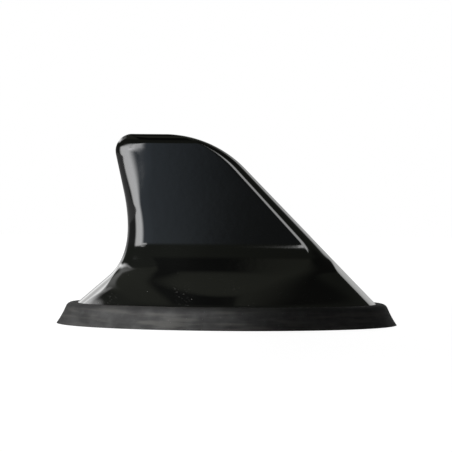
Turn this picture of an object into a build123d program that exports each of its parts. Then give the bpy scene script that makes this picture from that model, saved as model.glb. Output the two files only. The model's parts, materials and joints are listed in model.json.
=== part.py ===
from build123d import *
import os
from math import asin, degrees, radians, sin, sqrt, tan

# Stick-on shark fin roof aerial, in millimetres.
# +X runs to the nose, +Y to the left of the car, +Z up from the roof.
# The origin is the middle of the gasket's footprint, on the roof.

# Overall sizes
base_length = 135.0
base_width = 62.0
aerial_height = 75.0

# Stack of the base, from the roof up
pad_thickness = 1.6
plate_thickness = 2.4
gasket_ledge = 1.4
gasket_height = 8.4

# Shell, side view: straight leading edge, long crest arc, round tip, hollow trailing edge, straight tail
rim_margin_end = 8.55
nose_angle = 45.6
crest_radius = 44.0
tip_setback = 46.1
tip_radius = 6.6
trailing_lean = 12.4
trailing_blend = 25.1
tail_blend = 14.7
tail_angle = 40.8

# Shell, end view: leaning skirt, S-curve to the waist, tapered blade, round crest
rim_margin_side = 8.2
skirt_lean = 23.0
skirt_fullness = 8.0
waist_height = 33.0
waist_half_width = 6.4
waist_fullness = 12.0
crest_half_width = 4.0

# Shell, plan view: oval skirt that turns into a flat-sided blade, and a blunt facet at each end
nose_roundness = 1.05
tail_roundness = 1.4
tip_roundness = 3.4
tip_round_height = 46.0
oval_share = 0.49
oval_top_height = 12.0
blade_foot_height = 28.5
tail_facet_foot = 9.6
tail_facet_width = 11.2
tail_facet_height = 13.5
tail_facet_peak = 25.5
tail_facet_radius = 17.0
nose_facet_foot = 8.8
nose_facet_width = 9.0
nose_facet_height = 20.5
nose_facet_peak = 30.0
nose_facet_radius = 14.0
facet_share_peak = 0.25

# Shell wall, and how many sections it is lofted through
shell_wall = 2.2
skirt_sections = 12
blade_sections = 12
crest_sections = 6
crest_flat = 0.12

# Gasket: flared outside, grooved inside for the plate, a sealing groove underneath
gasket_lean = 4.3
gasket_lip_height = 2.0
gasket_lip_lean = 1.3
gasket_shoulder = 2.8
seat_clearance = 0.15
seal_groove_inset = 3.4
seal_groove_width = 2.2
seal_groove_depth = 0.7

# Base plate: edge in the gasket's groove, locating rim inside the shell
plate_edge_inset = 0.6
rim_rise = 0.8
rim_fit = 0.25
rim_wall = 1.6
rib_width = 1.2
rib_height = 1.8
rib_length = 44.0
rib_gap = 1.3
pad_fit = 0.5

# Posts in the shell and the screws that draw the plate up to them
post_spacing_x = 74.0
post_spacing_y = 16.0
post_radius = 3.0
base_screw_radius = 1.25
base_screw_head_radius = 2.6
base_screw_head_depth = 1.4
base_screw_length = 12.0
base_screw_hole_radius = 1.6
thread_clearance = 0.05
tip_clearance = 1.0
recess_width = 0.7
recess_depth = 0.9

# Outlet for the lead, with its grommet
outlet_gap = 10.0
outlet_radius = 4.0
grommet_bore_radius = 2.6
grommet_flange = 1.8
grommet_flange_thickness = 1.0
grommet_neck_wall = 1.0
grommet_neck_height = 2.0
pad_window_radius = 8.0

# Amplifier board on its standoffs
board_x = -6.0
board_length = 44.0
board_width = 26.0
board_thickness = 1.6
board_corner_radius = 2.0
standoff_height = 4.0
standoff_radius = 2.4
board_hole_inset = 3.0
board_hole_radius = 1.1
board_screw_radius = 0.8
board_screw_head_radius = 1.8
board_screw_head_height = 1.2
board_screw_head_round = 0.6
board_screw_length = 5.0

# Upright radiator board and its copper
radiator_thickness = 1.2
radiator_margin = 1.5
radiator_foot_length = 17.0
radiator_foot_setback = 2.0
radiator_flare_drop = 6.0
radiator_wing_drop = 3.0
radiator_waist_rise = 9.0
radiator_bend_drop = 10.0
radiator_head_gap = 2.6
radiator_corner_radius = 1.0
tab_width = 4.0
tab_spacing = 9.0
tab_clearance = 0.1
tab_overhang = 0.8
trace_width = 1.6
trace_thickness = 0.07
trace_runs = 8
trace_margin = 2.4
trace_foot_rise = 3.0
trace_head_gap = 2.5
trace_feed_gap = 4.0

# Guides in the shell that steady the radiator board, and the foam on its top edge
guide_rear_inset = 12.0
guide_front_inset = 7.0
guide_width = 1.5
guide_foot_rise = 1.0
guide_head_drop = 8.0
guide_clearance = 0.2
foam_length = 15.0
foam_grip = 4.0
foam_clearance = 0.1

# Parts on the amplifier board
shield_length = 18.0
shield_height = 6.5
shield_wall = 0.4
shield_corner_radius = 0.8
shield_gap = 0.4
shield_setback = 2.0
shield_headroom = 1.5
coil_length = 14.0
coil_flange_radius = 2.6
coil_flange_length = 1.2
coil_rod_radius = 1.4
coil_winding_radius = 2.3
coil_setback = 5.0
coil_edge_gap = 1.8
capacitor_radius = 3.15
capacitor_height = 7.0
capacitor_seam = 0.35
capacitor_groove_height = 1.75
capacitor_setback = 4.85
capacitor_edge_gap = 1.25
chip_length = 2.0
chip_width = 1.2
chip_height = 0.8
chip_pitch = 4.0
chip_columns = 4
chip_gap = 2.5
chip_end_gap = 1.0
terminal_length = 3.0
terminal_width = 2.4
terminal_height = 3.0
terminal_sheet = 0.5
terminal_setback = 1.0
terminal_spacing = 9.0

# Heights that follow from the stack
plate_top = pad_thickness + plate_thickness
shell_foot = plate_top + gasket_ledge
rim_top = shell_foot + rim_rise
board_bottom = plate_top + standoff_height
board_top = board_bottom + board_thickness
crest_start = aerial_height - crest_half_width
cavity_top = aerial_height - 2 * shell_wall
radiator_top = cavity_top - radiator_head_gap
radiator_bend_height = radiator_top - radiator_bend_drop
radiator_waist_height = waist_height + radiator_waist_rise
radiator_wing_height = waist_height - radiator_wing_drop
radiator_flare_height = radiator_wing_height - radiator_flare_drop
trace_foot = radiator_wing_height + trace_foot_rise
trace_head = radiator_top - foam_grip - trace_head_gap
guide_foot = waist_height + guide_foot_rise
guide_head = radiator_top - guide_head_drop

# Places along and across the amplifier board
board_rear = board_x - board_length / 2
board_front = board_x + board_length / 2
outlet_x = board_front + outlet_gap
radiator_foot_front = board_front - radiator_foot_setback
radiator_foot_rear = radiator_foot_front - radiator_foot_length
tab_middle = (radiator_foot_rear + radiator_foot_front) / 2
tab_places = [tab_middle - tab_spacing / 2, tab_middle + tab_spacing / 2]


def line_crossing(point_a, run_a, point_b, run_b):
    """Where two lines of the side view meet, each given by a point and its run dx/dz."""
    z = (point_b.X - point_a.X + run_a * point_a.Z - run_b * point_b.Z) / (run_a - run_b)
    return Vector(point_a.X + run_a * (z - point_a.Z), 0, z)


def height_crossing(curve, z):
    """The point where a curve that rises from end to end passes height z."""
    low, high = 0.0, 1.0
    for _ in range(40):
        middle = (low + high) / 2
        if (curve @ middle).Z < z:
            low = middle
        else:
            high = middle
    return curve @ low


def ease(z, start, end):
    """Smooth step from 0 at height start to 1 at height end."""
    t = min(max((z - start) / (end - start), 0.0), 1.0)
    return t * t * (3 - 2 * t)


def slab(face, bottom, top):
    """A flat outline made solid between two heights."""
    return Pos(0, 0, bottom) * extrude(face, top - bottom, dir=(0, 0, 1))


def post(x, y, radius, bottom, top):
    """An upright cylinder between two heights."""
    return Pos(x, y, bottom) * Cylinder(radius, top - bottom, align=(Align.CENTER, Align.CENTER, Align.MIN))


def block(x, y, length, width, bottom, top):
    """An upright box centred on x, y between two heights."""
    return Pos(x, y, (bottom + top) / 2) * Box(length, width, top - bottom)


def nose_outline():
    """Leading edge in the side view, from the roof to the crest."""
    run = -1 / tan(radians(nose_angle))
    rim_x = base_length / 2 - rim_margin_end
    foot = Vector(rim_x - run * gasket_height, 0, 0)
    corner = Vector(rim_x + run * (aerial_height - gasket_height), 0, aerial_height)
    tip = Vector(-tip_setback, 0, aerial_height)
    return Wire(FilletPolyline(foot, corner, tip, radius=crest_radius).edges()[:2])


def tail_outline():
    """Straight tail, hollow trailing edge and round tip in the side view, from the roof to the crest."""
    tail_run = 1 / tan(radians(tail_angle))
    trailing_run = -tan(radians(trailing_lean))
    rim = Vector(rim_margin_end - base_length / 2, 0, gasket_height)
    foot = Vector(rim.X - tail_run * rim.Z, 0, 0)
    tip = Vector(-tip_setback, 0, aerial_height)
    hollow = line_crossing(rim, tail_run, tip, trailing_run)
    low = hollow - Vector(tail_run, 0, 1).normalized() * tail_blend
    high = hollow + Vector(trailing_run, 0, 1).normalized() * trailing_blend
    crest = Vector(0, 0, aerial_height)
    top = FilletPolyline(high, tip, crest, radius=tip_radius).edges()[:2]
    return Wire([Line(foot, low), Bezier(low, hollow, high), *top])


def flank_outline():
    """Half of the end view, from the roof to the crest."""
    lean = tan(radians(skirt_lean))
    rim = Vector(0, base_width / 2 - rim_margin_side, gasket_height)
    foot = Vector(0, rim.Y + lean * rim.Z, 0)
    waist = Vector(0, waist_half_width, waist_height)
    crest = Vector(0, crest_half_width, crest_start)
    skirt_handle = rim + (rim - foot).normalized() * skirt_fullness
    waist_handle = waist - (crest - waist).normalized() * waist_fullness
    top = Vector(0, 0, aerial_height)
    bend = crest_half_width * sin(radians(45))
    return Wire([
        Line(foot, rim),
        Bezier(rim, skirt_handle, waist_handle, waist),
        Line(waist, crest),
        ThreePointArc(crest, Vector(0, bend, crest_start + bend), top),
    ])


nose_curve = nose_outline()
tail_curve = tail_outline()
flank_curve = flank_outline()


def facet_at(level, half, foot, width, height, peak):
    """Share of the half-width that a facet takes at a level, and how flat it is there.
    It widens from its foot to a height, then narrows and fades into the round end at its peak."""
    broad = foot + (width - foot) * ease(level, gasket_height, height)
    facet = broad + (facet_share_peak * half - broad) * ease(level, height, peak)
    return facet / half, 1 - ease(level, (height + peak) / 2, peak)


def blunt_end(tip, reach, half, share, flat, radius, way):
    """Flank, facet and flank arcs of one end of the plan; way is 1 at the nose and -1 at the tail."""
    facet = share * half
    round_depth = reach * (1 - sqrt(1 - share ** 2))
    flat_depth = radius - sqrt(radius ** 2 - facet ** 2)
    depth = round_depth + (flat_depth - round_depth) * flat
    facet_half = facet / sqrt(1 - (1 - depth / reach) ** 2)
    flank_turn = degrees(asin(share))
    facet_turn = degrees(asin(facet / facet_half))
    flank_centre = (tip + way * (round_depth - depth - reach), 0)
    facet_centre = (tip - way * reach, 0)
    middle = 90 - 90 * way
    return [
        EllipticalCenterArc(flank_centre, reach, half, middle - 90, arc_size=90 - flank_turn),
        EllipticalCenterArc(facet_centre, reach, facet_half, middle - facet_turn, arc_size=2 * facet_turn),
        EllipticalCenterArc(flank_centre, reach, half, middle + flank_turn, arc_size=90 - flank_turn),
    ]


def shell_plan(level, inset):
    """The shell's plan outline at a height of its outer form, shrunk by inset."""
    tail = height_crossing(tail_curve, level).X
    nose = height_crossing(nose_curve, level).X
    half = height_crossing(flank_curve, level).Y
    oval = oval_share * (nose - tail)
    blade = ease(level, oval_top_height, blade_foot_height)
    tip = ease(level, tip_round_height, crest_start)
    tail_round = tail_roundness + (tip_roundness - tail_roundness) * tip
    nose_reach = oval + (nose_roundness * half - oval) * blade - inset
    tail_reach = oval + (tail_round * half - oval) * blade - inset

    nose_share, nose_flat = facet_at(
        level, half, nose_facet_foot, nose_facet_width, nose_facet_height, nose_facet_peak)
    tail_share, tail_flat = facet_at(
        level, half, tail_facet_foot, tail_facet_width, tail_facet_height, tail_facet_peak)
    nose_radius = nose_facet_radius - inset
    tail_radius = tail_facet_radius - inset
    front = blunt_end(nose - inset, nose_reach, half - inset, nose_share, nose_flat, nose_radius, 1)
    rear = blunt_end(tail + inset, tail_reach, half - inset, tail_share, tail_flat, tail_radius, -1)
    right = Line(rear[-1] @ 1, front[0] @ 0)
    left = Line(front[-1] @ 1, rear[0] @ 0)
    return make_face([*rear, right, *front, left])


def section_levels(top):
    """Heights of the sections, close together where the form turns fast."""
    skirt_step = (waist_height - shell_foot) / skirt_sections
    blade_step = (crest_start - waist_height) / blade_sections
    crest_turn = asin(1 - crest_flat / crest_half_width) / crest_sections
    levels = [shell_foot + skirt_step * i for i in range(skirt_sections)]
    levels += [waist_height + blade_step * i for i in range(blade_sections)]
    levels += [crest_start + crest_half_width * sin(crest_turn * i) for i in range(crest_sections + 1)]
    return [level for level in levels if level < top - crest_flat] + [top]


def shell_form(inset, top):
    """The shell's form as a full solid, shrunk by inset and let down by as much."""
    return loft([Pos(0, 0, level - inset) * shell_plan(level, inset) for level in section_levels(top)])


def cavity_plan(z, gap):
    """The cavity's plan outline at height z, less a gap."""
    inset = shell_wall + gap
    return shell_plan(z + inset, inset)


def cavity_nose(z):
    return height_crossing(nose_curve, z + shell_wall).X - shell_wall


def cavity_tail(z):
    return height_crossing(tail_curve, z + shell_wall).X + shell_wall


def cavity_half_width(z):
    return height_crossing(flank_curve, z + shell_wall).Y - shell_wall


def corner_places(centre_x, reach_x, reach_y):
    """The four corners of a rectangle about a point on the X axis."""
    return [(centre_x + x, y) for x in (-reach_x, reach_x) for y in (-reach_y, reach_y)]


post_places = corner_places(0, post_spacing_x / 2, post_spacing_y / 2)
board_hole_places = corner_places(
    board_x, board_length / 2 - board_hole_inset, board_width / 2 - board_hole_inset)


def radiator_nose(z):
    return cavity_nose(z) - radiator_margin


def radiator_tail(z):
    return cavity_tail(z) + radiator_margin


def make_fin_shell():
    """Moulded fin and skirt, hollow, with four screw posts and two pairs of board guides."""
    skin_middle = shell_form(shell_wall / 2, aerial_height - shell_wall)
    shell = shell_form(0, aerial_height - crest_flat) - shell_form(shell_wall, aerial_height - shell_wall)
    slot = radiator_thickness / 2 + guide_clearance
    guide_depth = waist_half_width - slot
    guide_rear_x = radiator_tail(guide_head) + guide_rear_inset
    guide_front_x = radiator_nose(guide_head) - guide_front_inset
    for x in (guide_rear_x, guide_front_x):
        for flank in (-1, 1):
            y = flank * (slot + guide_depth / 2)
            shell += block(x, y, guide_width, guide_depth, guide_foot, guide_head) & skin_middle
    for x, y in post_places:
        shell += post(x, y, post_radius, shell_foot, waist_height) & skin_middle
        shell += post(x, y, post_radius, plate_top, shell_foot + shell_wall)
        pilot_top = pad_thickness + base_screw_length + tip_clearance
        shell -= post(x, y, base_screw_radius + thread_clearance, plate_top, pilot_top)
    return shell


def base_oval(inset):
    return Ellipse(base_length / 2 - inset, base_width / 2 - inset)


def make_base_gasket():
    """Rubber seal: flared face and round shoulder outside, plate groove and shell seat inside."""
    flare = loft([
        base_oval(0),
        Pos(0, 0, gasket_lip_height) * base_oval(gasket_lip_lean),
        Pos(0, 0, gasket_height) * base_oval(gasket_lean),
    ])
    shoulder_edge = flare.edges().sort_by(Axis.Z)[-1]
    gasket = fillet(shoulder_edge, gasket_shoulder)
    seat_levels = section_levels(waist_height)
    gasket -= loft([Pos(0, 0, level) * shell_plan(level, -seat_clearance) for level in seat_levels])
    gasket -= slab(shell_plan(shell_foot, plate_edge_inset), pad_thickness, plate_top)
    gasket -= slab(cavity_plan(rim_top, 0), 0, gasket_height)
    groove = base_oval(seal_groove_inset) - base_oval(seal_groove_inset + seal_groove_width)
    gasket -= slab(groove, 0, seal_groove_depth)
    return gasket


def countersink(radius):
    """Cone of a screw head that lies flush with the plate's underside."""
    return Cone(radius, radius - base_screw_head_depth, base_screw_head_depth,
                align=(Align.CENTER, Align.CENTER, Align.MIN))


def make_base_plate():
    """Moulded floor with locating rim, standoffs, ribs, screw holes and the outlet for the lead."""
    plate = slab(shell_plan(shell_foot, plate_edge_inset), pad_thickness, plate_top)
    rim = slab(cavity_plan(rim_top, rim_fit), plate_top, rim_top)
    plate += rim - slab(cavity_plan(rim_top, rim_fit + rim_wall), plate_top, rim_top)
    rib_y = board_width / 2 + rib_gap
    for y in (-rib_y, rib_y):
        plate += block(board_x, y, rib_length, rib_width, plate_top, plate_top + rib_height)
    for x, y in board_hole_places:
        plate += post(x, y, standoff_radius, plate_top, board_bottom)
        pilot_bottom = board_top - board_screw_length - tip_clearance
        plate -= post(x, y, board_screw_radius + thread_clearance, pilot_bottom, board_bottom)
    for x, y in post_places:
        plate -= post(x, y, base_screw_hole_radius, pad_thickness, plate_top)
        plate -= Pos(x, y, pad_thickness) * countersink(base_screw_head_radius + thread_clearance)
    return plate - post(outlet_x, 0, outlet_radius, pad_thickness, plate_top)


def make_adhesive_pad():
    """Foam tape under the plate, with a window round the outlet."""
    pad = slab(cavity_plan(rim_top, pad_fit), 0, pad_thickness)
    return pad - post(outlet_x, 0, pad_window_radius, 0, pad_thickness)


def make_base_screws():
    """Countersunk screws with a cross recess."""
    screws = []
    for x, y in post_places:
        screw = countersink(base_screw_head_radius)
        screw += post(0, 0, base_screw_radius, 0, base_screw_length)
        for angle in (0, 90):
            recess = block(0, 0, base_screw_head_radius, recess_width, 0, recess_depth)
            screw -= Rot(0, 0, angle) * recess
        screws.append(Pos(x, y, pad_thickness) * screw)
    return Compound(screws)


def make_lead_grommet():
    """Rubber bush that grips the edge of the plate's outlet, with a tapered neck inside."""
    flange = outlet_radius + grommet_flange
    neck = grommet_bore_radius + grommet_neck_wall
    low = pad_thickness - grommet_flange_thickness
    high = plate_top + grommet_flange_thickness
    profile = Polyline(
        (grommet_bore_radius, low),
        (flange, low),
        (flange, pad_thickness),
        (outlet_radius, pad_thickness),
        (outlet_radius, plate_top),
        (flange, plate_top),
        (neck, high),
        (neck, high + grommet_neck_height),
        (grommet_bore_radius, high + grommet_neck_height),
        close=True,
    )
    return Pos(outlet_x, 0, 0) * revolve(Plane.XZ * make_face(profile), Axis.Z)


def make_amplifier_board():
    """Flat circuit board with screw holes and slots for the upright board's tabs."""
    outline = RectangleRounded(board_length, board_width, board_corner_radius)
    board = Pos(board_x, 0, 0) * slab(outline, board_bottom, board_top)
    for x, y in board_hole_places:
        board -= post(x, y, board_hole_radius, board_bottom, board_top)
    for x in tab_places:
        slot_length = tab_width + 2 * tab_clearance
        slot_width = radiator_thickness + 2 * tab_clearance
        board -= block(x, 0, slot_length, slot_width, board_bottom, board_top)
    return board


def make_board_screws():
    """Pan-head screws through the board into the standoffs."""
    screws = []
    for x, y in board_hole_places:
        head = post(x, y, board_screw_head_radius, board_top, board_top + board_screw_head_height)
        head = fillet(head.edges().sort_by(Axis.Z)[-1], board_screw_head_round)
        shank = post(x, y, board_screw_radius, board_top - board_screw_length, board_top)
        recess = board_top + board_screw_head_height - recess_width
        for length, width in ((2 * board_screw_radius, recess_width), (recess_width, 2 * board_screw_radius)):
            head -= block(x, y, length, width, recess, board_top + board_screw_head_height)
        screws.append(head + shank)
    return Compound(screws)


def make_radiator_board():
    """Upright board that fills the fin and plugs into the amplifier board by two tabs."""
    shield_clear = board_top + shield_height + shield_headroom
    outline = Polyline(
        (radiator_foot_rear, board_top),
        (radiator_foot_front, board_top),
        (radiator_foot_front, radiator_flare_height),
        (radiator_nose(radiator_wing_height), radiator_wing_height),
        (radiator_nose(radiator_bend_height), radiator_bend_height),
        (radiator_nose(radiator_top), radiator_top),
        (radiator_tail(radiator_top), radiator_top),
        (radiator_tail(radiator_bend_height), radiator_bend_height),
        (radiator_tail(radiator_waist_height), radiator_waist_height),
        (radiator_tail(radiator_wing_height), radiator_wing_height),
        (radiator_foot_rear, shield_clear),
        close=True,
    )
    face = make_face(outline)
    face = fillet(face.vertices().group_by(Axis.Y)[-1], radiator_corner_radius)
    board = extrude(Plane.XZ * face, radiator_thickness / 2, both=True)
    for x in tab_places:
        board += block(x, 0, tab_width, radiator_thickness, board_bottom - tab_overhang, board_top)
    return board


def make_radiator_trace():
    """Copper meander that runs from the foot of the upright board to its crest."""
    step = (trace_head - trace_foot) / (trace_runs - 1)
    heights = [trace_foot + step * i for i in range(trace_runs)]
    path = [(tab_middle, board_top + trace_feed_gap), (tab_middle, trace_foot)]
    for i, (low, high) in enumerate(zip(heights, heights[1:])):
        if i % 2 == 0:
            turn = radiator_nose(high) - trace_margin
        else:
            turn = max(radiator_tail(low), radiator_tail(high)) + trace_margin
        path += [(turn, low), (turn, high)]
    path.append(((radiator_nose(trace_head) + radiator_tail(trace_head)) / 2, trace_head))
    meander = trace(Polyline(*path), line_width=trace_width)
    return extrude(Plane.XZ.offset(radiator_thickness / 2) * meander, trace_thickness)


def make_damper_foam():
    """Foam channel on the upright board's top edge, just clear of the fin's inside."""
    top = cavity_top - foam_clearance
    width = 2 * (cavity_half_width(top) - foam_clearance)
    middle = (radiator_tail(radiator_top) + radiator_nose(radiator_top)) / 2
    foam = block(middle, 0, foam_length, width, radiator_top - foam_grip, top)
    return foam - block(middle, 0, foam_length, radiator_thickness, radiator_top - foam_grip, radiator_top)


def make_shield_can():
    """Folded tin cover over the amplifier stage, open at the board."""
    x = board_rear + shield_setback + shield_length / 2
    shield_width = board_width - 2 * (board_hole_inset + board_screw_head_radius + shield_gap)
    can = block(x, 0, shield_length, shield_width, board_top, board_top + shield_height)
    can = fillet(can.edges().filter_by(Axis.Z), shield_corner_radius)
    inside_length = shield_length - 2 * shield_wall
    inside_width = shield_width - 2 * shield_wall
    return can - block(x, 0, inside_length, inside_width, board_top, board_top + shield_height - shield_wall)


def coil_drum(radius, length):
    """A drum along X on the coil's axis."""
    x = board_front - coil_setback - coil_length / 2
    y = board_width / 2 - coil_edge_gap - coil_flange_radius
    return Pos(x, y, board_top + coil_flange_radius) * Rot(0, 90, 0) * Cylinder(radius, length)


def make_coil_core():
    """Ferrite bobbin of the loading coil."""
    window = coil_length - 2 * coil_flange_length
    core = coil_drum(coil_flange_radius, coil_length) - coil_drum(coil_flange_radius, window)
    return core + coil_drum(coil_rod_radius, coil_length)


def make_coil_winding():
    """Turns of wire that fill the bobbin, as one sleeve."""
    window = coil_length - 2 * coil_flange_length
    return coil_drum(coil_winding_radius, window) - coil_drum(coil_rod_radius, window)


def make_supply_capacitor():
    """Upright can with a rolled groove near its foot."""
    x = board_front - capacitor_setback - capacitor_radius
    y = capacitor_edge_gap + capacitor_radius - board_width / 2
    can = post(x, y, capacitor_radius, board_top, board_top + capacitor_height)
    can = fillet(can.edges().sort_by(Axis.Z)[-1], capacitor_seam)
    low = board_top + capacitor_groove_height
    high = low + 2 * capacitor_seam
    groove = post(x, y, capacitor_radius, low, high)
    groove -= post(x, y, capacitor_radius - capacitor_seam, low, high)
    return can - groove


def make_chip_parts():
    """Two rows of small surface-mount parts beside the upright board."""
    row_y = radiator_thickness / 2 + chip_gap + chip_width / 2
    last_x = board_front - terminal_setback - terminal_length - chip_end_gap - chip_length / 2
    chips = []
    for column in range(chip_columns):
        for y in (-row_y, row_y):
            x = last_x - chip_pitch * column
            chips.append(block(x, y, chip_length, chip_width, board_top, board_top + chip_height))
    return Compound(chips)


def make_lead_terminals():
    """Two upright solder tags at the board's front edge, for the lead's core and screen."""
    x = board_front - terminal_setback - terminal_length / 2
    tags = []
    for y in (-terminal_spacing / 2, terminal_spacing / 2):
        tag = block(x, y, terminal_length, terminal_width, board_top, board_top + terminal_sheet)
        upright = x - terminal_length / 2 + terminal_sheet / 2
        tag += block(upright, y, terminal_sheet, terminal_width, board_top, board_top + terminal_height)
        tags.append(tag)
    return Compound(tags)


nodes = {
    "fin_shell": make_fin_shell(),
    "base_gasket": make_base_gasket(),
    "base_plate": make_base_plate(),
    "adhesive_pad": make_adhesive_pad(),
    "base_screws": make_base_screws(),
    "lead_grommet": make_lead_grommet(),
    "amplifier_board": make_amplifier_board(),
    "board_screws": make_board_screws(),
    "radiator_board": make_radiator_board(),
    "radiator_trace": make_radiator_trace(),
    "damper_foam": make_damper_foam(),
    "shield_can": make_shield_can(),
    "coil_core": make_coil_core(),
    "coil_winding": make_coil_winding(),
    "supply_capacitor": make_supply_capacitor(),
    "chip_parts": make_chip_parts(),
    "lead_terminals": make_lead_terminals(),
}

os.makedirs("parts", exist_ok=True)
for name, shape in nodes.items():
    export_step(shape, f"parts/{name}.step")
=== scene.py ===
import json
from math import asin, atan2, cos, pi, radians, sin, sqrt, tan

import bmesh
import bpy
from mathutils import Matrix, Vector


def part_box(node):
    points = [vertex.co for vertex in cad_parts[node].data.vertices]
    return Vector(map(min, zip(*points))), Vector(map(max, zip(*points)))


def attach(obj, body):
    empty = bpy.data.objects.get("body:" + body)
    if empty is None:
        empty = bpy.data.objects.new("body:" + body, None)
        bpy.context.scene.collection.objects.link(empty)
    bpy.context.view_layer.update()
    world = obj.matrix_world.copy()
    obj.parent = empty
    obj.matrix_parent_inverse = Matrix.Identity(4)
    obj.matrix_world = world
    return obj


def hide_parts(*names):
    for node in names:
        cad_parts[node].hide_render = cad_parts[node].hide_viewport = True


# Shark fin roof aerial: a gloss black moulded fin on a matt rubber gasket, in metres.
# +X runs to the nose, +Y to the left of the car, +Z up from the roof.

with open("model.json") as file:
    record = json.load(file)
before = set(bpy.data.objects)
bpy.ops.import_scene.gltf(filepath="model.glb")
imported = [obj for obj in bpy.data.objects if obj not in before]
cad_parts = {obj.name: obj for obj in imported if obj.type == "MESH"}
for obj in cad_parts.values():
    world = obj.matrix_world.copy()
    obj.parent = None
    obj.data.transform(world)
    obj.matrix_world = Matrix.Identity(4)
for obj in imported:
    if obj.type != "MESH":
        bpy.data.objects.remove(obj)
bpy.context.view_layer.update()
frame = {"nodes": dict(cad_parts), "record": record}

mm = 0.001

# Sizes read from the solids, whose crest stops in a narrow flat just below the round one made here
_, gasket_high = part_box("base_gasket")
shell_low, shell_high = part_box("fin_shell")
_, pad_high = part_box("adhesive_pad")
half_length = gasket_high.x
half_width = gasket_high.y
gasket_height = gasket_high.z
pad_top = pad_high.z
plate_top = shell_low.z
crest_flat = 0.12 * mm
aerial_height = shell_high.z + crest_flat

# Shell, side view
rim_margin_end = 8.55 * mm
nose_angle = radians(45.6)
crest_radius = 44 * mm
tip_setback = 46.1 * mm
tip_radius = 6.6 * mm
trailing_lean = radians(12.4)
trailing_blend = 25.1 * mm
tail_blend = 14.7 * mm
tail_angle = radians(40.8)

# Shell, end view
rim_margin_side = 8.2 * mm
skirt_lean = radians(23)
skirt_fullness = 8 * mm
waist_height = 33 * mm
waist_half_width = 6.4 * mm
waist_fullness = 12 * mm
crest_half_width = 4 * mm

# Shell, plan view
nose_roundness = 1.05
tail_roundness = 1.4
tip_roundness = 3.4
tip_round_height = 46 * mm
oval_share = 0.49
oval_top_height = 12 * mm
blade_foot_height = 28.5 * mm
tail_facet_foot = 9.6 * mm
tail_facet_width = 11.2 * mm
tail_facet_height = 13.5 * mm
tail_facet_peak = 25.5 * mm
tail_facet_radius = 17 * mm
nose_facet_foot = 8.8 * mm
nose_facet_width = 9 * mm
nose_facet_height = 20.5 * mm
nose_facet_peak = 30 * mm
nose_facet_radius = 14 * mm
facet_share_peak = 0.25
crease_round = 0.7 * mm
tail_crease_round = 1.6 * mm
shell_wall = 2.2 * mm

# Heights of the shell that follow
gasket_ledge = 1.4 * mm
rim_rise = 0.8 * mm
shell_foot = plate_top + gasket_ledge
rim_top = shell_foot + rim_rise
crest_start = aerial_height - crest_half_width
cavity_top = aerial_height - 2 * shell_wall

# Gasket
gasket_lean = 4.3 * mm
gasket_lip_height = 2 * mm
gasket_lip_lean = 1.3 * mm
gasket_shoulder = 2.8 * mm
gasket_edge_round = 0.3 * mm
seat_clearance = 0.15 * mm
plate_edge_inset = 0.6 * mm
seal_groove_inset = 3.4 * mm
seal_groove_width = 2.2 * mm
seal_groove_depth = 0.7 * mm

# How finely the curves and meshes are divided
height_halvings = 40
flank_steps = 28
crease_steps = 8
facet_steps = 16
straight_steps = 24
skirt_level_step = 0.5 * mm
blade_level_step = 1.2 * mm
cavity_level_step = 3 * mm
crest_steps = 22
flare_steps = 12
shoulder_steps = 10
weld = 0.002 * mm
sharp_angle = radians(40)


# Curves that the shell follows

def bezier(points, t):
    """The point at t on a curve with these control points."""
    while len(points) > 1:
        points = [a.lerp(b, t) for a, b in zip(points, points[1:])]
    return points[0]


def at_height(points, z):
    """How far across a rising curve with these control points is at height z."""
    low, high = 0.0, 1.0
    for _ in range(height_halvings):
        middle = (low + high) / 2
        if bezier(points, middle).y < z:
            low = middle
        else:
            high = middle
    return bezier(points, low).x


def ease(z, start, end):
    """Smooth step from 0 at height start to 1 at height end."""
    t = min(max((z - start) / (end - start), 0.0), 1.0)
    return t * t * (3 - 2 * t)


def arc_reach(radius, rise):
    """How far a round of that radius reaches across at a height above its centre."""
    return sqrt(max(radius ** 2 - rise ** 2, 0.0))


rim_x = half_length - rim_margin_end
rim_y = half_width - rim_margin_side

nose_run = 1 / tan(nose_angle)
nose_corner = rim_x - nose_run * (aerial_height - gasket_height)
crest_tangent = crest_radius * tan(nose_angle / 2)
crest_centre = Vector((nose_corner - crest_tangent, aerial_height - crest_radius))
crest_arc_foot = aerial_height - crest_tangent * sin(nose_angle)

tail_run = 1 / tan(tail_angle)
trailing_run = -tan(trailing_lean)
tail_rim = Vector((-rim_x, gasket_height))
tip_corner = Vector((-tip_setback, aerial_height))
tail_start = tail_rim.x - tail_run * tail_rim.y
trailing_start = tip_corner.x - trailing_run * tip_corner.y
hollow_z = (trailing_start - tail_start) / (tail_run - trailing_run)
hollow = Vector((tail_start + tail_run * hollow_z, hollow_z))
hollow_low = hollow - Vector((tail_run, 1)).normalized() * tail_blend
hollow_high = hollow + Vector((trailing_run, 1)).normalized() * trailing_blend
tip_tangent = tip_radius * tan((pi / 2 + trailing_lean) / 2)
tip_centre = Vector((tip_corner.x + tip_tangent, aerial_height - tip_radius))
tip_arc_foot = aerial_height - tip_tangent * cos(trailing_lean)

skirt_run = -tan(skirt_lean)
flank_rim = Vector((rim_y, gasket_height))
flank_waist = Vector((waist_half_width, waist_height))
flank_crest = Vector((crest_half_width, crest_start))
blade_way = (flank_crest - flank_waist).normalized()
flank_handles = [
    flank_rim,
    flank_rim + Vector((skirt_run, 1)).normalized() * skirt_fullness,
    flank_waist - blade_way * waist_fullness,
    flank_waist,
]


def nose_x(z):
    """Leading edge in the side view."""
    if z < crest_arc_foot:
        return rim_x - nose_run * (z - gasket_height)
    return crest_centre.x + arc_reach(crest_radius, z - crest_centre.y)


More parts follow.
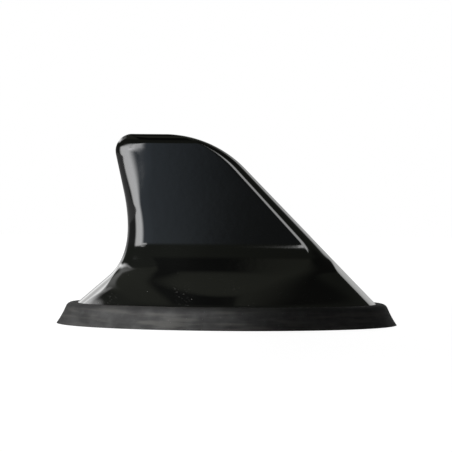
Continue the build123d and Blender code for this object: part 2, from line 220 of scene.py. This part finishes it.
def tail_x(z):
    """Tail, hollow trailing edge and round tip in the side view."""
    if z < hollow_low.y:
        return tail_rim.x + tail_run * (z - tail_rim.y)
    if z < hollow_high.y:
        return at_height([hollow_low, hollow, hollow_high], z)
    if z < tip_arc_foot:
        return tip_corner.x + trailing_run * (z - tip_corner.y)
    return tip_centre.x - arc_reach(tip_radius, z - tip_centre.y)


def flank_y(z):
    """Half of the end view."""
    if z < gasket_height:
        return rim_y + skirt_run * (z - gasket_height)
    if z < waist_height:
        return at_height(flank_handles, z)
    if z < crest_start:
        return waist_half_width + blade_way.x / blade_way.y * (z - waist_height)
    return arc_reach(crest_half_width, z - crest_start)


# Plan of the shell at one height

def facet_at(level, half, foot, width, height, peak):
    """Share of the half-width that a facet takes at a level, and how flat it is there.
    It widens from its foot to a height, then narrows and fades into the round end at its peak."""
    broad = foot + (width - foot) * ease(level, gasket_height, height)
    facet = broad + (facet_share_peak * half - broad) * ease(level, height, peak)
    return facet / half, 1 - ease(level, (height + peak) / 2, peak)


def blunt_end(tip, reach, half, share, flat, radius, crease_flank, way):
    """Points round one end of the plan: flank, rounded crease, facet, rounded crease, flank.
    crease_flank is how far the crease's round reaches on the flank.
    way is 1 at the nose and -1 at the tail."""
    facet = share * half
    round_depth = reach * (1 - sqrt(1 - share ** 2))
    flat_depth = radius - sqrt(radius ** 2 - facet ** 2)
    depth = round_depth + (flat_depth - round_depth) * flat
    facet_half = facet / sqrt(1 - (1 - depth / reach) ** 2)
    flank_turn = asin(share)
    facet_turn = asin(facet / facet_half)
    cut = round_depth - depth

    def on_flank(turn):
        return Vector((tip + way * (cut - reach + reach * cos(turn)), way * half * sin(turn)))

    def on_facet(turn):
        return Vector((tip + way * (reach * cos(turn) - reach), way * facet_half * sin(turn)))

    flank_end = flank_turn + min(crease_flank / half, flank_turn / 2)
    facet_end = facet_turn - min(crease_round / facet_half, facet_turn / 2)
    crease = [on_flank(flank_end), on_facet(facet_turn), on_facet(facet_end)]
    flank = [on_flank(pi / 2 + (flank_end - pi / 2) * i / flank_steps) for i in range(flank_steps)]
    crease_points = [bezier(crease, i / crease_steps) for i in range(crease_steps)]
    half_facet = [on_facet(facet_end * (1 - 2 * i / facet_steps)) for i in range(facet_steps // 2 + 1)]
    second = flank + crease_points + half_facet
    mirror = Vector((1, -1))
    first = [point * mirror for point in second[:-1]]
    return first + second[::-1]


def shell_plan(level, inset, z):
    """The shell's plan at a height of its outer form, shrunk by inset and laid at height z."""
    tail = tail_x(level)
    nose = nose_x(level)
    half = flank_y(level)
    oval = oval_share * (nose - tail)
    blade = ease(level, oval_top_height, blade_foot_height)
    tip = ease(level, tip_round_height, crest_start)
    tail_round = tail_roundness + (tip_roundness - tail_roundness) * tip
    nose_reach = oval + (nose_roundness * half - oval) * blade - inset
    tail_reach = oval + (tail_round * half - oval) * blade - inset

    nose_share, nose_flat = facet_at(
        level, half, nose_facet_foot, nose_facet_width, nose_facet_height, nose_facet_peak)
    tail_share, tail_flat = facet_at(
        level, half, tail_facet_foot, tail_facet_width, tail_facet_height, tail_facet_peak)
    front = blunt_end(
        nose - inset, nose_reach, half - inset, nose_share, nose_flat,
        nose_facet_radius - inset, crease_round, 1)
    rear = blunt_end(
        tail + inset, tail_reach, half - inset, tail_share, tail_flat,
        tail_facet_radius - inset, tail_crease_round, -1)

    def straight(start, end):
        return [start.lerp(end, i / straight_steps) for i in range(1, straight_steps)]

    plan = rear + straight(rear[-1], front[0]) + front + straight(front[-1], rear[0])
    return [Vector((point.x, point.y, z)) for point in plan]


def spaced(start, end, step):
    """Heights from start up to just below end, about a step apart."""
    count = max(round((end - start) / step), 1)
    return [start + (end - start) * i / count for i in range(count)]


# Meshes

def new_object(name, data):
    """An object of that name, in the scene."""
    made = bpy.data.objects.new(name, data)
    bpy.context.scene.collection.objects.link(made)
    return made


def mesh_object(name, bm):
    """An object made of a finished bmesh."""
    mesh = bpy.data.meshes.new(name)
    bm.to_mesh(mesh)
    bm.free()
    return new_object(name, mesh)


def wound_sheet(bm, rows):
    """A sheet of quads wound round through rows of points, with its seam and its folds welded."""
    around = len(rows[0])
    grid = bmesh.ops.create_grid(bm, x_segments=around, y_segments=len(rows) - 1, size=1)
    for vert in grid["verts"]:
        column = round((vert.co.x + 1) / 2 * around) % around
        row = round((vert.co.y + 1) / 2 * (len(rows) - 1))
        vert.co = rows[row][column]
    bmesh.ops.remove_doubles(bm, verts=grid["verts"], dist=weld)


def stand_in(bm, name, node, slot):
    """Make a mesh the named piece that stands for a solid, smooth but for its sharp edges."""
    bmesh.ops.recalc_face_normals(bm, faces=bm.faces)
    for face in bm.faces:
        face.smooth = True
    for edge in bm.edges:
        edge.smooth = edge.calc_face_angle(0) < sharp_angle
    piece = mesh_object(name, bm)
    piece.data.materials.append(finishes[slot])
    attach(piece, "root")
    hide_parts(node)


def make_fin():
    """The moulded fin and skirt, hollow: down the inside to its foot, and up the outside."""
    inside = spaced(shell_foot, cavity_top, cavity_level_step) + [cavity_top]
    outside = spaced(shell_foot, waist_height, skirt_level_step)
    outside += spaced(waist_height, crest_start, blade_level_step)
    crest_turns = [pi / 2 * i / crest_steps for i in range(crest_steps)]
    outside += [crest_start + crest_half_width * sin(turn) for turn in crest_turns]
    rows = [shell_plan(z + shell_wall, shell_wall, z) for z in reversed(inside)]
    rows += [shell_plan(z, 0, z) for z in outside]
    bm = bmesh.new()
    wound_sheet(bm, rows)
    bmesh.ops.holes_fill(bm, edges=[edge for edge in bm.edges if edge.is_boundary])
    stand_in(bm, "moulded_fin", "fin_shell", "gloss_black_plastic")


def flare_inset(z):
    """How far the gasket's flared face has come in at height z."""
    foot_slope = gasket_lip_lean / gasket_lip_height
    bend = (gasket_lean / gasket_height - foot_slope) / (gasket_height - gasket_lip_height)
    return z * (foot_slope + bend * (z - gasket_lip_height))


def make_gasket():
    """The rubber gasket: flare, shoulder, seat for the shell, groove for the plate, sealing groove."""
    seat = shell_plan(shell_foot, -seat_clearance, 0)
    turns = [atan2(point.y / half_width, point.x / half_length) for point in seat]

    def oval(inset, z):
        return [Vector(((half_length - inset) * cos(turn), (half_width - inset) * sin(turn), z))
                for turn in turns]

    def seat_edge(z, margin):
        return shell_plan(z, -seat_clearance - margin, z)

    slope_z = gasket_height - gasket_shoulder / 2
    lean = atan2(flare_inset(gasket_height) - flare_inset(slope_z), gasket_shoulder / 2)
    shoulder_turn = pi / 2 - lean
    tangent = gasket_shoulder * tan(shoulder_turn / 2)
    flare_top = gasket_height - tangent * cos(lean)
    shoulder_inset = gasket_lean + tangent
    shoulder_z = gasket_height - gasket_shoulder

    rows = [oval(flare_inset(z), z) for z in spaced(0, flare_top, flare_top / flare_steps)]
    for i in range(shoulder_steps + 1):
        angle = lean + shoulder_turn * i / shoulder_steps
        inset = shoulder_inset - gasket_shoulder * cos(angle)
        rows.append(oval(inset, shoulder_z + gasket_shoulder * sin(angle)))
    for i in range(crease_steps + 1):
        angle = pi / 2 * i / crease_steps
        z = gasket_height - gasket_edge_round * (1 - cos(angle))
        rows.append(seat_edge(z, gasket_edge_round * (1 - sin(angle))))
    rows.append(seat_edge(shell_foot, 0))
    mouth = shell_plan(rim_top + shell_wall, shell_wall, 0)
    groove = shell_plan(shell_foot, plate_edge_inset, 0)
    for plan, z in ((mouth, shell_foot), (mouth, plate_top), (groove, plate_top), (groove, pad_top),
                    (mouth, pad_top), (mouth, 0)):
        rows.append([Vector((point.x, point.y, z)) for point in plan])
    seal_inner = seal_groove_inset + seal_groove_width
    for inset, z in ((seal_inner, 0), (seal_inner, seal_groove_depth),
                     (seal_groove_inset, seal_groove_depth), (seal_groove_inset, 0)):
        rows.append(oval(inset, z))
    rows.append(rows[0])
    bm = bmesh.new()
    wound_sheet(bm, rows)
    stand_in(bm, "rubber_gasket", "base_gasket", "gasket_rubber")


# Shading

class Shade:
    """An output of a shader node. Arithmetic on it adds Math nodes to its tree."""

    def __init__(self, tree, socket=None):
        self.tree = tree
        self.socket = socket

    def node(self, kind, settings, inputs, outlet=0):
        """Any node: its settings are set first, then the values or links of its sockets."""
        made = self.tree.nodes.new("ShaderNode" + kind)
        for name, value in settings.items():
            setattr(made, name, value)
        for key, value in inputs.items():
            if isinstance(value, Shade):
                self.tree.links.new(value.socket, made.inputs[key])
            else:
                made.inputs[key].default_value = value
        return Shade(self.tree, made.outputs[outlet] if made.outputs else None)

    def math(self, operation, first, second):
        return self.node("Math", {"operation": operation}, {0: first, 1: second})

    def __add__(self, other):
        return self.math("ADD", self, other)

    def __radd__(self, other):
        return self.math("ADD", other, self)

    def __sub__(self, other):
        return self.math("SUBTRACT", self, other)

    def __rsub__(self, other):
        return self.math("SUBTRACT", other, self)

    def __mul__(self, other):
        return self.math("MULTIPLY", self, other)

    def __rmul__(self, other):
        return self.math("MULTIPLY", other, self)

    def __lt__(self, other):
        return self.math("LESS_THAN", self, other)

    def __gt__(self, other):
        return self.math("GREATER_THAN", self, other)

    def step(self, start, end):
        """Smooth step of this value from 0 at start to 1 at end."""
        ends = {"Value": self, "From Min": start, "From Max": end}
        return self.node("MapRange", {"interpolation_type": "SMOOTHSTEP"}, ends)

    def blend(self, first, second):
        """A colour between two, with this value as the share of the second.
        The Mix node keeps its colours at sockets 6 and 7, and the blended one at outlet 2."""
        return self.node("Mix", {"data_type": "RGBA"}, {0: self, 6: first, 7: second}, 2)

    def axis(self, name):
        """One component of this vector."""
        return self.node("SeparateXYZ", {}, {"Vector": self}, name)

    def stretched(self, scale):
        """This vector scaled by axis, so that a pattern runs along one way."""
        return self.node("Mapping", {}, {"Vector": self, "Scale": scale})

    def noise(self, scale, detail=3):
        return self.node("TexNoise", {}, {"Vector": self, "Scale": scale, "Detail": detail})

    def cells(self, scale, outlet="Distance"):
        """How far each point is from the middle of its cell, or another outlet."""
        return self.node("TexVoronoi", {}, {"Vector": self, "Scale": scale}, outlet)

    def cell_tones(self, scale):
        """A level of its own for each cell."""
        return self.cells(scale, "Color").axis("X")

    def specks(self, scale, reach, least_tone):
        """Dots in the middle of the few cells whose tone is above the least."""
        return (self.cells(scale) < reach) * (self.cell_tones(scale) > least_tone)

    def bands(self, scale, direction):
        settings = {"wave_type": "BANDS", "bands_direction": direction}
        return self.node("TexWave", settings, {"Vector": self, "Scale": scale})

    def bump(self, strength, depth):
        return self.node("Bump", {}, {"Height": self, "Strength": strength, "Distance": depth})


def grey(level):
    return (level, level, level, 1)


white = grey(1)


def new_finish(name):
    """An empty material, and the place on the piece that its patterns follow."""
    made = bpy.data.materials.new(name)
    made.use_nodes = True
    made.node_tree.nodes.clear()
    shade = Shade(made.node_tree)
    return made, shade, shade.node("TexCoord", {}, {}, "Object")


def surface(shade, colour, roughness, normal, metallic=0.0, ior=1.5):
    """Close a material with one shader."""
    shader = shade.node("BsdfPrincipled", {}, {
        "Base Color": colour, "Roughness": roughness, "Metallic": metallic, "IOR": ior, "Normal": normal})
    shade.node("OutputMaterial", {}, {"Surface": shader})


# Finishes, one for each slot: the scale of noise or cells is the number of features in a metre

dust_fade = (9 * mm, 24 * mm)
# Heights over which painted shade darkens the top of the gasket's rim
painted_rim_shade_heights = (gasket_height - 2.4 * mm, gasket_height - 0.6 * mm)


def gloss_black_plastic(name):
    """High-gloss moulding: a trace of orange peel, a faint haze, and dust low on the skirt."""
    made, shade, place = new_finish(name)
    low = 1 - place.axis("Z").step(*dust_fade)
    haze = place.noise(45).step(0.35, 0.75)
    specks = place.specks(520, 0.1, 0.86)
    grit = place.stretched((1, 1, 3)).noise(900, 5).step(0.6, 0.68)
    scuffs = grit * place.noise(90).step(0.5, 0.65)
    dust = (0.6 * specks + 0.22 * scuffs) * low
    colour = haze.blend((0.0024, 0.0026, 0.0024, 1), (0.0036, 0.0039, 0.0036, 1))
    colour = dust.blend(colour, (0.16, 0.16, 0.15, 1))
    peel = place.noise(380, 2)
    surface(shade, colour, roughness=0.055 + 0.03 * haze + 0.4 * dust, normal=peel.bump(0.05, 0.1 * mm))
    return made


def gasket_rubber(name):
    """Matt moulded rubber: fine grain, soft mottling, a pale bloom in streaks, and painted shade that
    darkens the top of the rim.
    """
    made, shade, place = new_finish(name)
    grain = place.noise(2200, 4)
    mottle = place.noise(160, 4)
    streak = place.stretched((0.25, 0.25, 2.5)).noise(260).step(0.42, 0.7)
    specks = place.specks(1300, 0.16, 0.9)
    # Painted shade: the colour darkens over the rounded top of the rim
    painted_rim_shade = place.axis("Z").step(*painted_rim_shade_heights)
    colour = mottle.step(0.3, 0.75).blend(grey(0.038), grey(0.068))
    colour = (0.6 * streak).blend(colour, (0.098, 0.097, 0.091, 1))
    colour = (0.6 * specks).blend(colour, grey(0.16))
    colour = (0.55 * painted_rim_shade).blend(colour, grey(0.02))
    relief = grain + 0.6 * mottle
    surface(shade, colour, roughness=0.68 + 0.16 * mottle, normal=relief.bump(0.35, 0.12 * mm), ior=1.15)
    return made


def black_plate_plastic(name):
    """Spark-eroded moulding, dull and finely pitted."""
    made, shade, place = new_finish(name)
    pits = place.cells(1900)
    flow = place.noise(70, 4)
    colour = flow.step(0.3, 0.7).blend(grey(0.022), grey(0.034))
    surface(shade, colour, roughness=0.5 + 0.15 * flow, normal=pits.bump(0.3, 0.05 * mm))
    return made


def foam_tape(name):
    """Closed-cell foam: small cells of uneven depth, dull, with a faint pull along the tape and painted
    shade in the cell hollows.
    """
    made, shade, place = new_finish(name)
    cells = place.cells(1400)
    pull = place.stretched((0.15, 1, 1)).noise(240)
    # Painted shade: the colour darkens towards the middle of each cell, where the bump sinks
    colour = cells.step(0.05, 0.5).blend(grey(0.05), grey(0.1))
    colour = (0.4 * pull).blend(colour, grey(0.075))
    surface(shade, colour, roughness=0.85 + 0.1 * pull, normal=cells.bump(0.6, 0.15 * mm))
    return made


def zinc_steel(name):
    """Bright zinc plate with small crystals and a trace of yellow passivation."""
    made, shade, place = new_finish(name)
    crystals = place.cell_tones(2600)
    stain = place.noise(420, 4)
    colour = stain.step(0.35, 0.7).blend((0.62, 0.62, 0.6, 1), (0.66, 0.63, 0.52, 1))
    roughness = 0.24 + 0.14 * crystals
    surface(shade, colour, roughness, normal=crystals.bump(0.15, 0.02 * mm), metallic=1)
    return made


def green_board(name):
    """Solder mask over glass weave: two crossed bands show through the green."""
    made, shade, place = new_finish(name)
    warp = place.bands(480, "X")
    weft = 0.5 * place.bands(480, "Z") + 0.5 * place.bands(480, "Y")
    weave = 0.5 * warp + 0.5 * weft
    cloud = place.noise(140)
    colour = weave.blend((0.012, 0.09, 0.035, 1), (0.022, 0.135, 0.055, 1))
    colour = cloud.step(0.4, 0.7).blend(colour, (0.018, 0.115, 0.05, 1))
    surface(shade, colour, roughness=0.3 + 0.12 * cloud, normal=weave.bump(0.12, 0.03 * mm))
    return made


def copper(name):
    """Etched copper under lacquer, duller in patches."""
    made, shade, place = new_finish(name)
    patch = place.noise(300, 5).step(0.4, 0.7)
    etch = place.noise(2600)
    colour = patch.blend((0.72, 0.38, 0.22, 1), (0.5, 0.25, 0.15, 1))
    surface(shade, colour, roughness=0.28 + 0.22 * patch, normal=etch.bump(0.2, 0.02 * mm), metallic=1)
    return made


def damper_foam(name):
    """Open-cell foam: deep cells between paler struts, their hollows darkened with painted shade."""
    made, shade, place = new_finish(name)
    cells = place.cells(1100)
    # Painted shade: the colour darkens towards the middle of each cell, where the bump sinks deepest
    colour = cells.step(0.1, 0.6).blend(grey(0.02), grey(0.065))
    surface(shade, colour, roughness=0.9 + 0.08 * cells, normal=cells.bump(0.9, 0.3 * mm))
    return made


def tinplate(name):
    """Rolled tinplate: fine streaks one way and soft water marks."""
    made, shade, place = new_finish(name)
    rolled = place.stretched((0.04, 1, 1)).noise(2400)
    marks = place.noise(260, 4).step(0.45, 0.65)
    colour = marks.blend((0.7, 0.7, 0.68, 1), (0.6, 0.6, 0.58, 1))
    roughness = 0.2 + 0.15 * rolled + 0.1 * marks
    surface(shade, colour, roughness, normal=rolled.bump(0.1, 0.02 * mm), metallic=1)
    return made


def ferrite(name):
    """Sintered dark grey with a fine sparkle of grains."""
    made, shade, place = new_finish(name)
    grains = place.cell_tones(3200)
    colour = grains.blend((0.04, 0.038, 0.036, 1), (0.075, 0.07, 0.066, 1))
    surface(shade, colour, roughness=0.5 + 0.2 * grains, normal=grains.bump(0.25, 0.03 * mm))
    return made


def enamelled_wire(name):
    """Close turns of enamelled copper wire round the X axis, with painted shade darkening the grooves
    between turns.
    """
    made, shade, place = new_finish(name)
    turns = place.bands(700, "X")
    # Painted shade: the colour darkens where the bump sinks between turns
    colour = turns.blend((0.2, 0.06, 0.02, 1), (0.6, 0.25, 0.09, 1))
    roughness = 0.22 + 0.12 * place.noise(500)
    surface(shade, colour, roughness, normal=turns.bump(0.8, 0.15 * mm), metallic=0.85)
    return made


def capacitor_can(name):
    """Drawn aluminium: rings from the die up the wall."""
    made, shade, place = new_finish(name)
    rings = place.stretched((0.05, 0.05, 1)).noise(3000, 2)
    colour = rings.blend((0.56, 0.57, 0.58, 1), (0.66, 0.67, 0.68, 1))
    surface(shade, colour, roughness=0.22 + 0.16 * rings, normal=rings.bump(0.15, 0.02 * mm), metallic=1)
    return made


def chip_body(name):
    """Dull moulded bodies, speckled with filler."""
    made, shade, place = new_finish(name)
    filler = place.cell_tones(4200)
    colour = filler.blend(grey(0.028), (0.055, 0.055, 0.06, 1))
    surface(shade, colour, roughness=0.5 + 0.2 * filler, normal=filler.bump(0.2, 0.02 * mm))
    return made


# Studio: white ground behind, a soft room in front, softboxes round the piece

# Room that the gloss mirrors: a pair is where one part starts and ends its change into the next,
# as a component of the way that the mirrored ray goes
backdrop = grey(0.85)
backdrop_edge = (0.3, 0.6)
backdrop_top = (0.2, 0.35)
room_left = (0.57, 0.67, 0.78, 1)
room_right = (0.12, 0.13, 0.13, 1)
room_turn = (-0.055, 0.015)
room_side = grey(0.2)
room_front = (0.6, 0.85)
room_high = (0.13, 0.14, 0.115, 1)
room_high_edge = (0.12, 0.28)
room_above = grey(0.035)
room_above_edge = (0.66, 0.8)
ceiling = (0.23, 0.24, 0.195, 1)
ceiling_edge = (0.957, 0.99)
ceiling_left = (0.2, 0.27)
ceiling_right = (0.0, 0.024)
ceiling_far = (0.0, 0.32)
ceiling_far_loss = 0.85

# Light that the room throws on matt surfaces
room_fill = grey(0.09)

# Floor: its glow to the camera, which melts into the white further out, then in mirrors, and its paper
floor_reach = 700 * mm
floor_drop = 0.2 * mm
floor_glow = 0.96
floor_melt = (90 * mm, 300 * mm)
floor_gloss = 0.6
floor_paper = 0.2

# Lamps
box_distance = 800 * mm
wing_distance = 249 * mm
spot_aim = Vector((-50 * mm, 0, 8 * mm))
spot_radius = 61 * mm
spot_softness = 25 * mm

# Camera: where it stands, and the photograph's scale and middle at the fin's plane
photo_pixels = 452
photo_span = 340
camera_distance = 800 * mm
camera_height = 74.2 * mm
aim = Vector((-0.55 * mm, 0, 38.8 * mm))
picture_roll = radians(0.44)
sensor_width = 36


def stage_sheet(name, size_x, size_y, turn):
    """A flat sheet of the studio, that isn't part of the object."""
    bm = bmesh.new()
    bm.loops.layers.uv.verify()
    bmesh.ops.create_grid(bm, x_segments=1, y_segments=1, size=0.5, calc_uvs=True)
    bmesh.ops.scale(bm, vec=(size_x, size_y, 1), verts=bm.verts)
    bmesh.ops.transform(bm, matrix=turn, verts=bm.verts)
    sheet = mesh_object(name, bm)
    return sheet


def glowing(shade, strength, base):
    """Close a material with white light of that strength added to a base shader."""
    light = shade.node("Emission", {}, {"Color": white, "Strength": strength})
    both = shade.node("AddShader", {}, {0: light, 1: base})
    shade.node("OutputMaterial", {}, {"Surface": both})


def make_floor():
    """Pale floor that keeps the shadow and melts into the white ground further out."""
    floor = stage_sheet(
        "floor", 2 * floor_reach, 2 * floor_reach, Matrix.Translation((0, 0, -floor_drop)))
    made, shade, place = new_finish("pale_floor")
    distance = shade.node("VectorMath", {"operation": "LENGTH"}, {0: place}, "Value")
    glow = floor_glow + (1 - floor_glow) * distance.step(*floor_melt)
    camera = shade.node("LightPath", {}, {}, "Is Camera Ray")
    gloss = shade.node("LightPath", {}, {}, "Is Glossy Ray")
    paper = shade.node("BsdfDiffuse", {}, {"Color": floor_paper * (1 - gloss)})
    glowing(shade, glow * camera + floor_gloss * gloss, paper)
    floor.data.materials.append(made)


def bearing(azimuth, elevation):
    """The way to a lamp, from degrees to the right of the camera and degrees up."""
    turn = radians(azimuth)
    rise = radians(elevation)
    return Vector((sin(turn) * cos(rise), -cos(turn) * cos(rise), sin(rise)))


def make_softbox(name, azimuth, elevation, width, height, radiance, fade, roll=0, distance=box_distance):
    """A sheet of light that faces the fin, added to what stands behind it.
    fade is the share of its size over which each edge softens: left, right, low and high."""
    stand = Matrix.Translation(bearing(azimuth, elevation) * distance)
    turn = Matrix.Rotation(radians(azimuth), 4, "Z")
    tilt = Matrix.Rotation(pi / 2 - radians(elevation), 4, "X")
    spin = Matrix.Rotation(radians(roll), 4, "Z")
    sheet = stage_sheet(name, width, height, stand @ turn @ tilt @ spin)
    sheet.visible_camera = False
    sheet.visible_shadow = False
    made, shade, _ = new_finish(name)
    place = shade.node("TexCoord", {}, {}, "UV")
    across = place.axis("X")
    up = place.axis("Y")
    level = radiance
    for edge, share in zip((across, 1 - across, up, 1 - up), fade):
        if share:
            level = level * edge.step(0, share)
    clear = shade.node("BsdfTransparent", {}, {})
    glowing(shade, level, clear)
    sheet.data.materials.append(made)
    return sheet


def make_spot(name, azimuth, elevation, power):
    """A spot lamp with a soft cone that lights the tail end and fades out along the side."""
    data = bpy.data.lights.new(name, "SPOT")
    data.energy = power
    data.spot_size = 2 * atan2(spot_radius, box_distance)
    data.spot_blend = 1
    data.shadow_soft_size = spot_softness
    lamp = new_object(name, data)
    back = bearing(azimuth, elevation)
    stand = Matrix.Translation(spot_aim + back * box_distance)
    lamp.matrix_world = stand @ back.to_track_quat("Z", "Y").to_matrix().to_4x4()
    lamp.visible_glossy = False


def make_world():
    """White to the camera; in reflections a white ground behind and a dim room in front."""
    world = bpy.data.worlds.new("studio")
    world.use_nodes = True
    world.node_tree.nodes.clear()
    bpy.context.scene.world = world
    shade = Shade(world.node_tree)
    way = shade.node("TexCoord", {}, {}, "Generated")
    across = way.axis("X")
    depth = way.axis("Y")
    height = way.axis("Z")
    behind = depth.step(*backdrop_edge) * (1 - height.step(*backdrop_top))
    room = across.step(*room_turn).blend(room_left, room_right)
    room = (0 - depth).step(*room_front).blend(room_side, room)
    room = height.step(*room_high_edge).blend(room, room_high)
    room = height.step(*room_above_edge).blend(room, room_above)
    left = (0 - across).step(*ceiling_left)
    right = across.step(*ceiling_right) * (1 - ceiling_far_loss * across.step(*ceiling_far))
    sides = (left + right) * height.step(*room_above_edge)
    room = shade.math("MAXIMUM", sides, height.step(*ceiling_edge)).blend(room, ceiling)
    seen = behind.blend(room, backdrop)
    gloss = shade.node("LightPath", {}, {}, "Is Glossy Ray")
    camera = shade.node("LightPath", {}, {}, "Is Camera Ray")
    colour = camera.blend(gloss.blend(room_fill, seen), white)
    light = shade.node("Background", {}, {"Color": colour, "Strength": 1.0})
    shade.node("OutputWorld", {}, {"Surface": light})


def make_camera():
    """The photograph's view: a little above, square to the side."""
    data = bpy.data.cameras.new("camera")
    camera = new_object("camera", data)
    bpy.context.scene.camera = camera
    place = Vector((aim.x, -camera_distance, camera_height))
    camera.location = place
    turn = (aim - place).to_track_quat("-Z", "Y").to_matrix() @ Matrix.Rotation(picture_roll, 3, "Z")
    camera.rotation_euler = turn.to_euler()
    foot_depth = (aim - place).normalized().dot(-place)
    data.sensor_width = sensor_width
    data.lens = sensor_width * foot_depth * photo_span / (photo_pixels * 2 * half_length)


# The piece, its finishes and the studio

makers = [
    gloss_black_plastic, gasket_rubber, black_plate_plastic, foam_tape, zinc_steel, green_board, copper,
    damper_foam, tinplate, ferrite, enamelled_wire, capacitor_can, chip_body,
]
finishes = {maker.__name__: maker(maker.__name__) for maker in makers}

for part in frame["record"]["subparts"]:
    mesh = frame["nodes"][part["node"]].data
    mesh.materials.clear()
    mesh.materials.append(finishes[part["material_slot"]])

make_fin()
make_gasket()
make_floor()
make_world()

# Softboxes that only the gloss sees
mirror_boxes = [
    # The highlight down the tail side of the blade
    make_softbox("left_softbox", azimuth=-42.5, elevation=9.3, width=650 * mm, height=262 * mm,
                 radiance=8.6, fade=(0.31, 0.32, 0, 0.2)),
    make_softbox("left_crown_softbox", azimuth=-19, elevation=13.6, width=290 * mm, height=62 * mm,
                 radiance=7.0, fade=(0.3, 0.35, 0.35, 0.3)),
    make_softbox("left_wing_softbox", azimuth=-28.6, elevation=21.4, width=92 * mm, height=15 * mm,
                 radiance=5.5, fade=(0.25, 0.55, 0.75, 0.1), distance=wing_distance),
    # The highlight along the nose side of the blade, and the hook at its foot
    make_softbox("right_softbox", azimuth=21.5, elevation=23, width=520 * mm, height=330 * mm,
                 radiance=6.2, fade=(0.32, 0.36, 0.3, 0.3), roll=37),
    make_softbox("right_top_softbox", azimuth=17.5, elevation=33, width=150 * mm, height=150 * mm,
                 radiance=4.5, fade=(0.3, 0.3, 0.3, 0.3)),
    make_softbox("right_foot_softbox", azimuth=6.5, elevation=18.3, width=80 * mm, height=100 * mm,
                 radiance=5.5, fade=(0.4, 0.5, 0.1, 0.1)),
    # The tail end of the skirt
    make_softbox("left_hump_softbox", azimuth=-100, elevation=53, width=760 * mm, height=270 * mm,
                 radiance=1.2, fade=(0.3, 0.5, 0.2, 0.2)),
    make_softbox("tail_band_softbox", azimuth=-77, elevation=46, width=170 * mm, height=270 * mm,
                 radiance=1.5, fade=(0.3, 0.4, 0.3, 0.3)),
    # The facets at the tail and the nose
    make_softbox("rear_left_softbox", azimuth=-112, elevation=37, width=1020 * mm, height=364 * mm,
                 radiance=7.0, fade=(0.45, 0.38, 0.45, 0.45), roll=12),
    make_softbox("tail_softbox", azimuth=-143, elevation=25, width=680 * mm, height=480 * mm,
                 radiance=2.1, fade=(0.25, 0.2, 0.2, 0.2)),
    make_softbox("rear_right_softbox", azimuth=142, elevation=26, width=600 * mm, height=620 * mm,
                 radiance=2.2, fade=(0.25, 0.6, 0.3, 0.3)),
]
for box in mirror_boxes:
    box.visible_diffuse = False

# A soft light from behind that only matt surfaces take, and a spot on the tail end
back_fill = make_softbox("back_fill_softbox", azimuth=180, elevation=35, width=700 * mm, height=700 * mm,
                         radiance=1.3, fade=(0, 0, 0, 0))
back_fill.visible_glossy = False
make_spot("key_spot", azimuth=8, elevation=18, power=43)

make_camera()
bpy.context.scene.view_settings.view_transform = "Standard"
